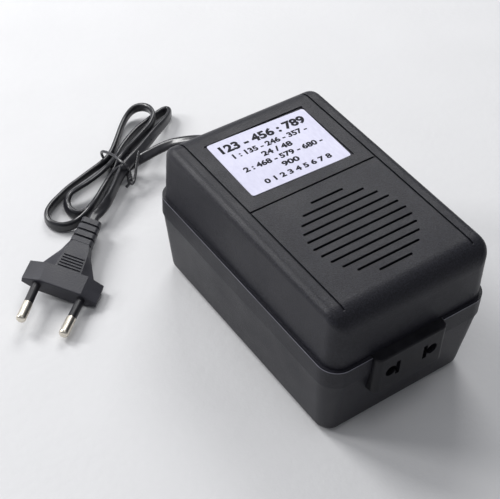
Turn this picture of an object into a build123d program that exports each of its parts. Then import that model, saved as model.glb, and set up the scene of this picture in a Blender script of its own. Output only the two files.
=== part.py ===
from build123d import *
import math
import os

# Travel voltage converter: a two-shell plastic case round a mains transformer,
# with a two-pin outlet in front, and a short tied lead with a two-pin plug behind.
# Millimetres. +Z up, Y = 0 midway between the outlet's face and the rear wall,
# X = 0 on the case's centre line, Z = 0 on the surface that the feet stand on.
os.makedirs("parts", exist_ok=True)

# Case
rim_length = 114.0
rim_width = 74.0
rim_radius = 7.9
rim_band_height = 8.4
rim_step = 0.35
ledge_width = 1.4
case_height = 64.4
parting_height = 39.4
foot_stand = 0.8
tub_taper = 3.4
tub_bottom_radius = 3.0
upper_draft = 0.35
upper_side_radius = 3.4
upper_end_radius = 8.5
wall = 2.2
floor_thickness = 2.4
rim_wall = 3.6
inner_taper = 2.8
inner_radius = 4.3
tongue_height = 1.9
tongue_thickness = 1.1
tongue_clearance = 0.15
seat_clearance = 0.1
cut_overrun = 2.0

# Outlet block
outlet_projection = 3.1
outlet_width = 32.5
outlet_height = 18.0
outlet_offset = -2.4
outlet_corner_radius = 2.5
outlet_edge_radius = 0.6
outlet_fit = 0.15
outlet_flange_thickness = 2.0
outlet_flange_margin = 1.6
outlet_body_width = 28.0
outlet_body_height = 14.0
outlet_depth_share = 0.18
pin_spacing = 19.0
blade_spacing = 12.7
pin_hole_radius = 2.4
blade_slot_width = 1.9
blade_slot_height = 6.8
outlet_axis_drop = 8.4
outlet_back_wall = 1.0
contact_setback = 5.0
contact_length = 11.0
contact_inner_radius = 2.45
contact_thickness = 0.5
contact_gap = 2.4
contact_tail_width = 2.2
contact_tail_length = 5.2

# Top face
groove_share = 0.783
groove_width = 0.85
groove_depth = 0.7
groove_front_gap = 6.3
cross_groove_share = 0.2404
vent_centre_share = 0.3035
vent_radius_share = 0.1851
vent_pitch_share = 0.1872
vent_slot_width = 1.05
vent_slot_count = 11
label_length_share = 0.6054
label_depth_share = 0.2825
label_thickness = 0.25
label_corner_radius = 1.2
label_tilt = -1.7
recess_side_gap = 0.55
recess_end_gap = 0.7
recess_depth = 0.5
label_centre_share = 0.7395

# Bosses, screws and feet
boss_across_share = 0.73
boss_along_share = 0.816
boss_radius = 4.6
upper_boss_radius = 3.6
boss_gap = 0.1
screw_radius = 1.45
screw_hole_radius = 1.75
pilot_clearance = 0.02
screw_head_radius = 2.9
screw_head_height = 2.2
screw_bore_radius = 3.3
screw_bore_depth = 11.0
screw_length = 38.0
screw_drive_width = 0.9
screw_drive_length = 3.4
foot_radius = 5.0
foot_height = 2.0
foot_recess_clearance = 0.1
foot_across_share = 0.54
foot_along_share = 0.544

# Transformer
core_length_share = 0.5337
core_leg_share = 0.1667
core_top_room = 6.7
core_stack_share = 0.449
core_base_height = 8.0
core_centre_share = 0.4421
core_clearance = 0.3
bobbin_wall = 1.2
bobbin_clearance = 0.2
bobbin_end_gap = 0.25
coil_corner_radius = 1.5
coil_margin = 0.3
coil_overhang_share = 0.947
winding_gap = 0.05
inner_winding_share = 0.347
outer_winding_share = 0.305
tape_thickness = 0.35
bracket_thickness = 1.2
bracket_width = 24.0
bracket_foot_length = 9.0
bracket_bend_radius = 1.8
bracket_screw_radius = 1.45
bracket_screw_head_radius = 2.9
bracket_screw_head_height = 1.8
bracket_screw_length = 5.6
bracket_hole_radius = 1.8
post_radius = 4.0
rib_thickness = 2.0
rib_reach = 12.0
hold_down_shares = (0.62, 0.86)
cutoff_length = 15.0
cutoff_height = 7.0
cutoff_thickness = 3.4

# Cord, bushing and clamp. The flat twin cord is drawn as a round tube of its mean size.
cord_width = 5.2
cord_thickness = 2.7
cord_diameter = math.sqrt(cord_width * cord_thickness)
arc_share = 0.45
gap_step = 0.8
exit_offset_share = 0.1757
exit_height = 21.0
bushing_length = 20.0
bushing_root_radius = 4.8
bushing_tip_radius = 3.3
bushing_collar_radius = 6.0
bushing_collar_thickness = 2.6
collar_sink = 0.2
bushing_neck_radius = 4.4
bushing_flange_radius = 5.8
bushing_flange_thickness = 1.4
bushing_groove_depth = 0.8
bushing_groove_width = 1.1
bushing_groove_count = 5
bushing_fit = 0.1
cord_bore_clearance = 0.15
cord_inside_reach = 2.5
saddle_length_share = 0.2162
saddle_depth = 6.0
saddle_setback = 5.4
clamp_height = 4.6
clamp_screw_share = 0.69
clamp_screw_radius = 1.2
clamp_screw_head_radius = 2.3
clamp_screw_head_height = 1.4
clamp_screw_length = 10.0
lead_radius = 0.8
lead_bend_radius = 1.3
lead_gap = 0.3
lead_run_out = 2.5
splice_radius = 2.6
splice_length = 10.0
splice_spacing = 5.4

# Plug
plug_width = 31.2
plug_thickness = 6.9
plug_flat_width = 17.4
plug_wing_thickness = 2.2
plug_edge_radius = 0.5
plug_front_length = 10.0
plug_grip_length = 10.6
plug_grip_width = 23.0
plug_grip_thickness = 6.3
plug_grip_flat_width = 11.0
plug_grip_wing_thickness = 1.8
plug_waist_width = 13.0
plug_waist_thickness = 6.2
plug_waist_flat_width = 9.6
plug_waist_wing_thickness = 2.4
plug_neck_length = 5.6
plug_neck_width = 9.6
plug_neck_thickness = 6.0
plug_neck_flat_width = 7.0
plug_neck_wing_thickness = 3.0
plug_grip_rib_count = 5
plug_grip_rib_height = 0.45
plug_grip_rib_width = 0.7
plug_grip_rib_pitch = 1.55
relief_ring_count = 4
relief_ring_thickness = 2.7
relief_groove_width = 1.15
relief_root_width = 9.4
relief_root_thickness = 6.2
relief_tip_width = 8.4
relief_tip_thickness = 5.6
relief_core_width = 6.8
relief_core_thickness = 4.4
pin_length = 19.0
pin_radius = 2.0
pin_tip_radius = 1.2
pin_shank_radius = 1.4
pin_root_length = 6.0
sleeve_length = 10.0
sleeve_radius = 1.8
pin_base_spacing = 18.6
pin_tip_spacing = 17.5
moulding_clearance = 0.02
plug_front_from_mouth = (-94.7, -18.85)
plug_front_z = 5.15
plug_heading = 221.1
plug_pitch = -1.0
plug_roll = 11.4
tail_run = 4.2

# Twist tie
tie_radius = 0.6
tie_clearance = 0.12
tie_twist_radius = 1.15
tie_twist_length = 6.5
tie_corner_radius = 1.8

# Where the main planes lie
overall_length = rim_length + outlet_projection
outlet_face_y = -overall_length / 2
front_y = outlet_face_y + outlet_projection
rear_y = overall_length / 2
centre_y = (front_y + rear_y) / 2
shell_bottom = foot_stand
rim_bottom = parting_height - rim_band_height
upper_width = rim_width - 2 * ledge_width
upper_length = rim_length - 2 * ledge_width
inner_width = rim_width - 2 * rim_wall
inner_length = rim_length - 2 * rim_wall
ceiling = case_height - wall
floor_top = shell_bottom + floor_thickness
outlet_axis_z = parting_height - outlet_axis_drop
vent_y = front_y + vent_centre_share * rim_length
vent_radius = vent_radius_share * rim_length
vent_pitch = vent_pitch_share * vent_radius
cross_y = vent_y + cross_groove_share * rim_length
groove_spacing = groove_share * rim_width
label_y = front_y + label_centre_share * rim_length
label_length = label_length_share * rim_width
label_depth = label_depth_share * rim_length
boss_spacing = (boss_across_share * rim_width, boss_along_share * rim_length)
foot_spacing = (foot_across_share * rim_width, foot_along_share * rim_length)
outlet_depth = outlet_depth_share * rim_length
outlet_hole_depth = outlet_depth - outlet_back_wall

# Size of the transformer, which fills the case that it is in
core_y = front_y + core_centre_share * rim_length
core_length = core_length_share * inner_length
core_stack = core_stack_share * inner_width
core_leg = core_leg_share * core_length
core_top = ceiling - core_top_room
core_window_height = core_top - core_base_height - 2 * core_leg
coil_overhang = coil_overhang_share * core_leg
inner_winding_thickness = inner_winding_share * core_leg
outer_winding_thickness = outer_winding_share * core_leg

# Where the lead leaves: the mouth of its bushing
exit_offset = exit_offset_share * rim_width
saddle_length = saddle_length_share * rim_width
clamp_screw_spacing = clamp_screw_share * saddle_length
mouth = (exit_offset, rear_y + bushing_length, exit_height)

# Hand-picked route of the lead: first from the bushing's mouth to the hank, measured from
# that mouth, then round the hank as (along, aside, height) from its tied waist.
hank_from_mouth = (-35.0, 35.45)
hank_heading = 29.0
lead_route = [
    (0.0, 0.0, 0.0),
    (0.0, 7.45, 0.0),
    (-2.6, 15.05, -2.0),
    (-8.6, 21.95, -5.1),
    (-14.9, 27.25, -8.6),
]
hank_route = [
    (9.2, -10.0, 8.5),
    (4.0, -7.2, 4.2),
    (-3.0, -4.7, 3.3),
    (-12.0, -4.0, 2.1),
    (-21.0, -3.6, 2.0),
    (-29.0, -2.4, 2.0),
    (-35.5, -1.4, 2.0),
    (-36.5, 4.8, 2.0),
    (-30.5, 7.4, 2.0),
    (-22.0, 5.7, 2.0),
    (-13.0, 3.6, 2.1),
    (-3.0, 0.2, 3.3),
    (6.0, 1.8, 2.6),
    (15.0, 4.4, 2.0),
    (25.0, 4.9, 2.0),
    (35.0, 4.4, 2.0),
    (42.5, 4.2, 2.0),
    (46.3, 0.2, 2.0),
    (44.3, -4.6, 2.0),
    (38.0, -5.6, 2.0),
    (30.5, -4.0, 2.0),
    (22.0, -2.0, 2.1),
    (14.2, -1.2, 3.9),
    (7.0, 0.8, 7.3),
    (-3.0, 2.2, 7.7),
    (-12.0, -0.4, 6.6),
    (-21.0, -3.0, 6.4),
    (-30.0, -4.8, 6.3),
    (-37.5, -4.6, 4.4),
    (-43.2, -3.0, 2.1),
    (-46.6, 2.4, 2.0),
    (-45.4, 9.0, 2.0),
    (-39.5, 13.4, 2.0),
    (-31.5, 12.6, 2.0),
    (-22.0, 10.4, 2.0),
    (-12.0, 8.0, 2.2),
    (-3.0, 4.8, 3.3),
    (5.0, 6.2, 2.6),
    (13.0, 8.6, 2.0),
    (22.0, 10.8, 2.0),
    (30.5, 14.2, 2.0),
    (38.6, 14.8, 2.2),
    (43.0, 10.2, 4.4),
    (41.4, 4.6, 6.6),
    (35.6, 1.2, 6.6),
    (27.5, -1.6, 6.6),
    (18.5, -4.4, 6.7),
    (9.5, -5.0, 6.8),
    (3.0, -3.0, 7.4),
    (-3.0, -2.4, 7.7),
    (-10.0, -6.0, 6.8),
    (-17.5, -8.2, 5.2),
    (-28.4, -10.0, 5.2),
]
# Ring of the twist tie in the plane across the waist, as (aside, height).
tie_route = [
    (7.8, 0.65),
    (7.8, 4.9),
    (4.7, 10.4),
    (-4.9, 10.4),
    (-8.0, 5.0),
    (-7.9, 0.65),
]
tie_along = -2.0
tie_knot = (-9.2, 4.2)
tie_tails = [
    [(-2.6, -9.8, 6.6), (0.2, -11.6, 10.4), (5.6, -12.4, 14.4)],
    [(-2.6, -9.8, 1.8), (-5.2, -12.6, 1.3), (-8.2, -14.2, 1.5)],
]


def rounded_block(width, length, radius, low, high, top_inset=0.0, bottom_inset=0.0):
    """A rounded rectangle about the case's axis, drawn in evenly towards either end."""
    ends = []
    for level, inset in ((low, bottom_inset), (high, top_inset)):
        outline = RectangleRounded(width - 2 * inset, length - 2 * inset, radius - inset / 2)
        ends.append(Pos(0, centre_y, level) * outline)
    return loft(ends, ruled=True)


def box_between(low, high):
    """An upright box between two corners."""
    size = [b - a for a, b in zip(low, high)]
    middle = [(a + b) / 2 for a, b in zip(low, high)]
    return Pos(*middle) * Box(*size)


def upright(radius, low, high, x=0.0, y=0.0):
    """A cylinder on a vertical axis."""
    return Pos(x, y, (low + high) / 2) * Cylinder(radius, high - low)


def lengthwise(radius, near, far, x, z):
    """A cylinder on an axis along Y."""
    return Pos(x, (near + far) / 2, z) * Rot(90, 0, 0) * Cylinder(radius, far - near)


def corners(spacing_x, spacing_y):
    """The four corners of a rectangle about the case's axis."""
    return [
        (side_x * spacing_x / 2, centre_y + side_y * spacing_y / 2)
        for side_x in (-1, 1)
        for side_y in (-1, 1)
    ]


def hank_point(along, aside, height):
    """A point of the hank's own layout in the part's frame."""
    turn = math.radians(hank_heading)
    x = mouth[0] + hank_from_mouth[0] + along * math.cos(turn) - aside * math.sin(turn)
    y = mouth[1] + hank_from_mouth[1] + along * math.sin(turn) + aside * math.cos(turn)
    return Vector(x, y, height)


def route_path(points):
    """Straight runs joined by arcs as large as the two runs of each corner allow."""
    radii = []
    for before, corner, after in zip(points, points[1:], points[2:]):
        turn = (corner - before).get_angle(after - corner)
        shorter = min((corner - before).length, (after - corner).length)
        radii.append(arc_share * shorter / math.tan(math.radians(turn / 2)))
    path = FilletPolyline(*points, radius=radii)
    return path, radii


def tube(path, radius):
    """A round tube along a path."""
    start = Plane(origin=path @ 0, z_dir=path % 0)
    return sweep(start * Circle(radius), path=path)


def case_outer_lower():
    """The outside of the lower shell: an upright rim band over a tapered tub."""
    band = rounded_block(rim_width, rim_length, rim_radius, rim_bottom, parting_height)
    tub_width = rim_width - 2 * rim_step
    tub_length = rim_length - 2 * rim_step
    tub = rounded_block(tub_width, tub_length, rim_radius - rim_step, shell_bottom, rim_bottom,
                        bottom_inset=tub_taper)
    tub = fillet(tub.edges().group_by(Axis.Z)[0], tub_bottom_radius)
    return band + tub


def inner_half_length(level):
    """Half the lower cavity's length at a level, because its walls lean."""
    rise = (level - floor_top) / (parting_height - floor_top)
    return inner_length / 2 - inner_taper * (1 - rise)


def outer_half_length(level):
    """Half the tub's length at a level under the rim band."""
    drop = (rim_bottom - level) / (rim_bottom - shell_bottom)
    return rim_length / 2 - rim_step - tub_taper * drop


outlet_flange_y = centre_y + seat_clearance - inner_half_length(parting_height - outlet_height
                                                                - outlet_flange_margin)
wall_inner_y = centre_y + inner_half_length(exit_height - bushing_flange_radius)
collar_y = centre_y + outer_half_length(exit_height - bushing_collar_radius) - collar_sink
saddle_y = wall_inner_y - saddle_setback - saddle_depth / 2
saddle_top = exit_height - cord_diameter / 2 - seat_clearance
cord_end_y = saddle_y - saddle_depth / 2 - cord_inside_reach


def outlet_notch(margin):
    """The room that the outlet block takes in the front wall."""
    half = outlet_width / 2 + margin
    low = (outlet_offset - half, outlet_face_y - cut_overrun, parting_height - outlet_height - margin)
    high = (outlet_offset + half, outlet_flange_y, parting_height + cut_overrun)
    return box_between(low, high)




def make_lower_shell():
    shell = case_outer_lower()
    shell -= rounded_block(inner_width, inner_length, inner_radius, floor_top, parting_height,
                           bottom_inset=inner_taper)
    # Rebate for the upper shell's tongue
    grow = 2 * (tongue_thickness + tongue_clearance)
    shell -= rounded_block(inner_width + grow, inner_length + grow, inner_radius + grow / 2,
                           parting_height - tongue_height - tongue_clearance, parting_height)
    shell -= outlet_notch(outlet_fit)
    shell -= lengthwise(bushing_neck_radius + bushing_fit, centre_y, rear_y + cut_overrun,
                        exit_offset, exit_height)
    shell -= lengthwise(bushing_collar_radius + bushing_fit, collar_y, rear_y + cut_overrun,
                        exit_offset, exit_height)
    # Bosses for the case screws, the transformer's posts and ribs, and the cord saddle
    for x, y in corners(*boss_spacing):
        shell += upright(boss_radius, floor_top - floor_thickness / 2, parting_height - boss_gap, x, y)
        shell -= upright(screw_bore_radius, 0, shell_bottom + screw_bore_depth, x, y)
        shell -= upright(screw_hole_radius, 0, parting_height + cut_overrun, x, y)
    for y in bracket_foot_places():
        shell += upright(post_radius, floor_top - floor_thickness / 2, core_base_height, 0, y)
        hole_low = core_base_height - bracket_screw_length
        shell -= upright(bracket_screw_radius + pilot_clearance, hole_low,
                         core_base_height + cut_overrun, 0, y)
    for side in (-1, 1):
        rib_y = core_y + side * (core_length / 2 - core_leg / 2)
        shell += box_between(
            (-rib_reach, rib_y - rib_thickness / 2, floor_top - floor_thickness / 2),
            (rib_reach, rib_y + rib_thickness / 2, core_base_height),
        )
    shell += box_between(
        (exit_offset - saddle_length / 2, saddle_y - saddle_depth / 2, floor_top - floor_thickness / 2),
        (exit_offset + saddle_length / 2, saddle_y + saddle_depth / 2, saddle_top),
    )
    for side in (-1, 1):
        shell -= upright(clamp_screw_radius + pilot_clearance, saddle_top - clamp_screw_length,
                         saddle_top + cut_overrun, exit_offset + side * clamp_screw_spacing / 2, saddle_y)
    # Round recesses that hold the feet
    for x, y in corners(*foot_spacing):
        shell -= upright(foot_radius + foot_recess_clearance, 0, foot_height, x, y)
    return shell


def end_rounded_bar(length, radius, low, high):
    """A bar across the case, drawn in like its upper shell, whose two upper edges are rounded."""
    half = length / 2
    outline = Polyline((-half, low), (half, low), (half - upper_draft, high),
                       (upper_draft - half, high), close=True)
    bar = extrude(make_face(Plane.YZ * outline), 2 * rim_width, dir=(1, 0, 0))
    bar = Pos(-rim_width, centre_y, 0) * bar
    return fillet(bar.edges().filter_by(Axis.X).group_by(Axis.Z)[-1], radius)


def make_upper_shell():
    outer = rounded_block(upper_width, upper_length, rim_radius - ledge_width, parting_height, case_height,
                          top_inset=upper_draft)
    outer &= end_rounded_bar(upper_length, upper_end_radius, parting_height, case_height)
    long_edges = [edge for edge in outer.edges() if edge.center().Z > case_height - upper_end_radius
                  and abs(edge.center().X) > upper_width / 2 - rim_radius]
    outer = fillet(long_edges, upper_side_radius)
    inner = rounded_block(inner_width, inner_length, inner_radius, parting_height, ceiling,
                          top_inset=upper_draft)
    inner &= end_rounded_bar(inner_length, upper_end_radius - wall, parting_height, ceiling)
    shell = outer - inner
    # Tongue that drops into the lower shell's rebate
    grow = 2 * tongue_thickness
    tongue_low = parting_height - tongue_height
    tongue = rounded_block(inner_width + grow, inner_length + grow, inner_radius + tongue_thickness,
                           tongue_low, parting_height + wall / 2)
    tongue -= rounded_block(inner_width, inner_length, inner_radius, tongue_low,
                            parting_height + wall / 2)
    tongue -= outlet_notch(outlet_flange_margin + outlet_fit)
    shell += tongue
    for x, y in corners(*boss_spacing):
        shell += upright(upper_boss_radius, parting_height, ceiling + wall / 2, x, y)
        pilot_top = shell_bottom + screw_bore_depth + screw_length + seat_clearance
        shell -= upright(screw_radius + pilot_clearance, parting_height - cut_overrun, pilot_top, x, y)
    # Two ribs under the roof that keep the transformer down
    for share in hold_down_shares:
        rib_y = core_y + share * core_length / 2
        shell += box_between(
            (-rib_reach, rib_y - rib_thickness / 2, core_top + bracket_thickness + core_clearance),
            (rib_reach, rib_y + rib_thickness / 2, ceiling + wall / 2),
        )
    return shell - top_face_cuts()


def top_face_cuts():
    """Grooves, label recess and vent slots, cut from above."""
    cuts = []
    groove_front = front_y + groove_front_gap + groove_width
    above = box_between((-rim_width, groove_front, case_height - upper_end_radius),
                        (rim_width, rear_y, case_height + cut_overrun))
    above -= end_rounded_bar(upper_length - 2 * groove_depth, upper_end_radius - groove_depth,
                             parting_height, case_height - groove_depth)
    for side in (-1, 1):
        x = side * groove_spacing / 2
        strip = box_between((x - groove_width / 2, groove_front, parting_height),
                            (x + groove_width / 2, rear_y, case_height + cut_overrun))
        cuts.append(above & strip)
        cuts.append(upright(groove_width / 2, case_height - groove_depth, case_height + groove_depth,
                            x, groove_front))
    cuts.append(Pos(0, cross_y, case_height) * Box(groove_spacing, groove_width, 2 * groove_depth))
    recess_length = label_length + 2 * recess_side_gap
    recess_width = label_depth + 2 * recess_end_gap
    cuts.append(Pos(0, label_y, case_height) * Box(recess_length, recess_width, 2 * recess_depth))
    for index in range(vent_slot_count):
        offset = (index - (vent_slot_count - 1) / 2) * vent_pitch
        length = 2 * math.sqrt(vent_radius ** 2 - offset ** 2)
        slot = SlotOverall(length, vent_slot_width)
        cuts.append(Pos(0, vent_y + offset, ceiling - wall) * extrude(slot, 3 * wall))
    return cuts


def make_rating_label():
    sheet = RectangleRounded(label_length, label_depth, label_corner_radius)
    label = extrude(sheet, label_thickness)
    return Pos(0, label_y, case_height - recess_depth) * Rot(0, 0, label_tilt) * label


def outlet_pin_places():
    return [outlet_offset - pin_spacing / 2, outlet_offset + pin_spacing / 2]


def make_outlet_block():
    low_z = parting_height - outlet_height
    flange_y = outlet_flange_y
    plan = Rectangle(outlet_width, flange_y - outlet_face_y)
    face = Pos(outlet_offset, (flange_y + outlet_face_y) / 2, low_z) * extrude(plan, outlet_height)
    front_uprights = face.edges().filter_by(Axis.Z).group_by(Axis.Y)[0]
    face = fillet(front_uprights, outlet_corner_radius)
    face = fillet(face.faces().sort_by(Axis.Y)[0].edges(), outlet_edge_radius)
    half = outlet_width / 2 + outlet_flange_margin
    flange = box_between(
        (outlet_offset - half, flange_y, low_z - outlet_flange_margin),
        (outlet_offset + half, flange_y + outlet_flange_thickness, parting_height - seat_clearance),
    )
    body_half = outlet_body_width / 2
    body = box_between(
        (outlet_offset - body_half, flange_y, outlet_axis_z - outlet_body_height / 2),
        (outlet_offset + body_half, outlet_face_y + outlet_depth, outlet_axis_z + outlet_body_height / 2),
    )
    block = face + flange + body
    hole_end = outlet_face_y + outlet_hole_depth
    for side, x in zip((-1, 1), outlet_pin_places()):
        block -= lengthwise(pin_hole_radius, outlet_face_y - cut_overrun, hole_end, x, outlet_axis_z)
        slot_x = outlet_offset + side * blade_spacing / 2
        block -= box_between(
            (slot_x - blade_slot_width / 2, outlet_face_y - cut_overrun, outlet_axis_z - blade_slot_height / 2),
            (slot_x + blade_slot_width / 2, hole_end, outlet_axis_z + blade_slot_height / 2),
        )
        pocket = contact_inner_radius + contact_thickness + seat_clearance
        pocket_low = outlet_face_y + contact_setback
        block -= lengthwise(pocket, pocket_low, pocket_low + contact_length + seat_clearance, x, outlet_axis_z)
        tail = contact_tail_width / 2 + seat_clearance
        block -= box_between(
            (x - tail, pocket_low, outlet_axis_z + contact_inner_radius),
            (x + tail, outlet_face_y + outlet_depth + cut_overrun, outlet_axis_z + pocket),
        )
    return block


def make_contact(index):
    """A rolled sleeve that grips the pin, open towards the blade slot, with a solder tail."""
    side = (-1, 1)[index]
    x = outlet_pin_places()[index]
    near = outlet_face_y + contact_setback
    far = near + contact_length
    outer = contact_inner_radius + contact_thickness
    sleeve = lengthwise(outer, near, far, x, outlet_axis_z)
    sleeve -= lengthwise(contact_inner_radius, near - cut_overrun, far + cut_overrun, x, outlet_axis_z)
    inner_side = x - side * outer
    sleeve -= box_between(
        (min(x, inner_side - side * cut_overrun), near - cut_overrun, outlet_axis_z - contact_gap / 2),
        (max(x, inner_side - side * cut_overrun), far + cut_overrun, outlet_axis_z + contact_gap / 2),
    )
    tail_end = outlet_face_y + outlet_depth + contact_tail_length / 2
    tail = box_between(
        (x - contact_tail_width / 2, far - contact_tail_length, outlet_axis_z + contact_inner_radius),
        (x + contact_tail_width / 2, tail_end, outlet_axis_z + outer),
    )
    return sleeve + tail


def make_case_screws():
    screws = []
    for x, y in corners(*boss_spacing):
        seat = shell_bottom + screw_bore_depth
        screw = upright(screw_head_radius, seat - screw_head_height, seat, x, y)
        screw += upright(screw_radius, seat - screw_head_height / 2, seat + screw_length, x, y)
        low = seat - screw_head_height
        for turn in (0, 90):
            drive = Box(screw_drive_length, screw_drive_width, screw_head_height)
            screw -= Pos(x, y, low) * Rot(0, 0, turn) * drive
        screws.append(screw)
    return screws


def make_rubber_feet():
    feet = []
    for x, y in corners(*foot_spacing):
        foot = upright(foot_radius, 0, foot_height, x, y)
        feet.append(chamfer(foot.edges().group_by(Axis.Z)[0], foot_stand / 2))
    return feet


def core_outline(low, high):
    half = core_stack / 2
    return box_between((-half, core_y - core_length / 2, low), (half, core_y + core_length / 2, high))


def make_core_e_stack():
    top = core_base_height + core_leg + core_window_height
    stack = core_outline(core_base_height, top)
    for side in (-1, 1):
        middle = core_y + side * (core_length / 2 - core_leg - core_leg / 2)
        stack -= box_between(
            (-core_stack, middle - core_leg / 2, core_base_height + core_leg),
            (core_stack, middle + core_leg / 2, top + cut_overrun),
        )
    return stack


def make_core_i_stack():
    low = core_base_height + core_leg + core_window_height
    return core_outline(low, core_top)


def coil_ring(inner_x, inner_y, thickness, low, high):
    """A rounded ring round the core's middle leg."""
    radius = coil_corner_radius
    outer = RectangleRounded(2 * (inner_x + thickness), 2 * (inner_y + thickness), radius + thickness)
    inner = RectangleRounded(2 * inner_x, 2 * inner_y, radius)
    return Pos(0, core_y, low) * extrude(outer - inner, high - low)


coil_low = core_base_height + core_leg + bobbin_end_gap
coil_high = coil_low + core_window_height - 2 * bobbin_end_gap
bobbin_inner_x = core_stack / 2 + bobbin_clearance
bobbin_inner_y = core_leg + bobbin_clearance
bobbin_outer_x = bobbin_inner_x + bobbin_wall
bobbin_outer_y = bobbin_inner_y + bobbin_wall


def make_bobbin():
    outer = RectangleRounded(2 * bobbin_outer_x, 2 * bobbin_outer_y, coil_corner_radius)
    hole = Rectangle(2 * bobbin_inner_x, 2 * bobbin_inner_y)
    flange_y = 2 * core_leg - coil_margin
    flange = RectangleRounded(2 * (core_stack / 2 + coil_overhang), 2 * flange_y, coil_corner_radius)
    height = coil_high - coil_low
    bobbin = extrude(outer - hole, height)
    bobbin += extrude(flange - hole, bobbin_wall)
    bobbin += Pos(0, 0, height - bobbin_wall) * extrude(flange - hole, bobbin_wall)
    return Pos(0, core_y, coil_low) * bobbin


coil_layers = [
    ("inner_winding", inner_winding_thickness),
    ("interlayer_tape", tape_thickness),
    ("outer_winding", outer_winding_thickness),
    ("outer_tape", tape_thickness),
]
coil_thickness = sum(thickness + winding_gap for name, thickness in coil_layers)


def make_coil_layers():
    """Each layer starts where the one below it ends."""
    layers = {}
    start = winding_gap
    for name, thickness in coil_layers:
        layers[name] = coil_ring(
            bobbin_outer_x + start,
            bobbin_outer_y + start,
            thickness,
            coil_low + bobbin_wall + winding_gap,
            coil_high - bobbin_wall - winding_gap,
        )
        start += thickness + winding_gap
    return layers


def bracket_foot_places():
    reach = core_length / 2 + bracket_thickness + bracket_foot_length / 2
    return [core_y - reach, core_y + reach]


def make_core_bracket():
    """A strap bent over the core, with a screw foot at each end."""
    inner = core_length / 2 + core_clearance / 2
    outer = inner + bracket_thickness
    top = core_top + core_clearance / 2
    foot_end = core_length / 2 + bracket_thickness + bracket_foot_length
    base = core_base_height
    half_outline = [
        (foot_end, base),
        (foot_end, base + bracket_thickness),
        (outer, base + bracket_thickness),
        (outer, top + bracket_thickness),
    ]
    half_inside = [(inner, top), (inner, base)]
    points = half_outline + [(-y, z) for y, z in reversed(half_outline)]
    points += [(-y, z) for y, z in reversed(half_inside)] + half_inside
    outline = Polyline(*points, close=True)
    profile = make_face(Plane.YZ * outline)
    strap = Pos(-bracket_width / 2, core_y, 0) * extrude(profile, bracket_width, dir=(1, 0, 0))
    shoulders = strap.edges().filter_by(Axis.X).group_by(Axis.Z)[-1]
    strap = fillet(shoulders, bracket_bend_radius)
    for y in bracket_foot_places():
        strap -= upright(bracket_hole_radius, base - cut_overrun, base + 2 * bracket_thickness, 0, y)
    return strap


def make_bracket_screws():
    screws = []
    for y in bracket_foot_places():
        seat = core_base_height + bracket_thickness
        screw = upright(bracket_screw_head_radius, seat, seat + bracket_screw_head_height, 0, y)
        tip = core_base_height - bracket_screw_length + seat_clearance
        screw += upright(bracket_screw_radius, tip, seat + bracket_screw_head_height / 2, 0, y)
        screws.append(screw)
    return screws


def make_thermal_cutoff():
    x = bobbin_outer_x + coil_thickness + winding_gap
    low = (coil_low + coil_high) / 2 - cutoff_height / 2
    body = box_between(
        (x, core_y - cutoff_length / 2, low),
        (x + cutoff_thickness, core_y + cutoff_length / 2, low + cutoff_height),
    )
    return fillet(body.edges().filter_by(Axis.Y), cutoff_thickness / 4)


def make_cord_bushing():
    """A collared grommet whose tapered tail is ringed so that it flexes."""
    neck_near = wall_inner_y - seat_clearance
    body = lengthwise(bushing_neck_radius, neck_near - bushing_flange_thickness, collar_y, exit_offset,
                      exit_height)
    body += lengthwise(bushing_flange_radius, neck_near - bushing_flange_thickness, neck_near, exit_offset,
                       exit_height)
    collar_far = collar_y + bushing_collar_thickness
    body += lengthwise(bushing_collar_radius, collar_y, collar_far, exit_offset, exit_height)
    tail_length = rear_y + bushing_length - collar_far
    tail = Cone(bushing_root_radius, bushing_tip_radius, tail_length)
    pitch = tail_length / (bushing_groove_count + 1)
    for index in range(bushing_groove_count):
        level = (index + 1) * pitch - tail_length / 2
        share = (index + 1) / (bushing_groove_count + 1)
        radius = bushing_root_radius + share * (bushing_tip_radius - bushing_root_radius)
        ring = Cylinder(radius + cut_overrun, bushing_groove_width)
        ring -= Cylinder(radius - bushing_groove_depth, bushing_groove_width)
        tail -= Pos(0, 0, level) * ring
    tail_middle = collar_far + tail_length / 2
    body += Pos(exit_offset, tail_middle, exit_height) * Rot(-90, 0, 0) * tail
    bore = cord_diameter / 2 + cord_bore_clearance
    return body - lengthwise(bore, centre_y, rear_y + bushing_length + cut_overrun, exit_offset, exit_height)


def make_cord_inside():
    """The lead's end inside the case, through the bushing and under the clamp."""
    return lengthwise(cord_diameter / 2, cord_end_y, rear_y + bushing_length, exit_offset, exit_height)


def make_cord_clamp():
    low = saddle_top + seat_clearance
    clamp = box_between(
        (exit_offset - saddle_length / 2, saddle_y - saddle_depth / 2, low),
        (exit_offset + saddle_length / 2, saddle_y + saddle_depth / 2, low + clamp_height),
    )
    groove = cord_diameter / 2 + seat_clearance
    clamp -= lengthwise(groove, saddle_y - saddle_depth, saddle_y + saddle_depth, exit_offset, exit_height)
    clamp -= box_between(
        (exit_offset - groove, saddle_y - saddle_depth, low - cut_overrun),
        (exit_offset + groove, saddle_y + saddle_depth, exit_height),
    )
    for side in (-1, 1):
        clamp -= upright(clamp_screw_radius + seat_clearance, low - cut_overrun,
                         low + clamp_height + cut_overrun,
                         exit_offset + side * clamp_screw_spacing / 2, saddle_y)
    return clamp


def make_clamp_screws():
    screws = []
    seat = saddle_top + seat_clearance + clamp_height
    for side in (-1, 1):
        x = exit_offset + side * clamp_screw_spacing / 2
        screw = upright(clamp_screw_head_radius, seat, seat + clamp_screw_head_height, x, saddle_y)
        screw += upright(clamp_screw_radius, seat + seat_clearance - clamp_screw_length,
                         seat + clamp_screw_head_height / 2, x, saddle_y)
        screws.append(screw)
    return screws


def splice_places():
    return [exit_offset - splice_spacing / 2, exit_offset + splice_spacing / 2]


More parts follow.
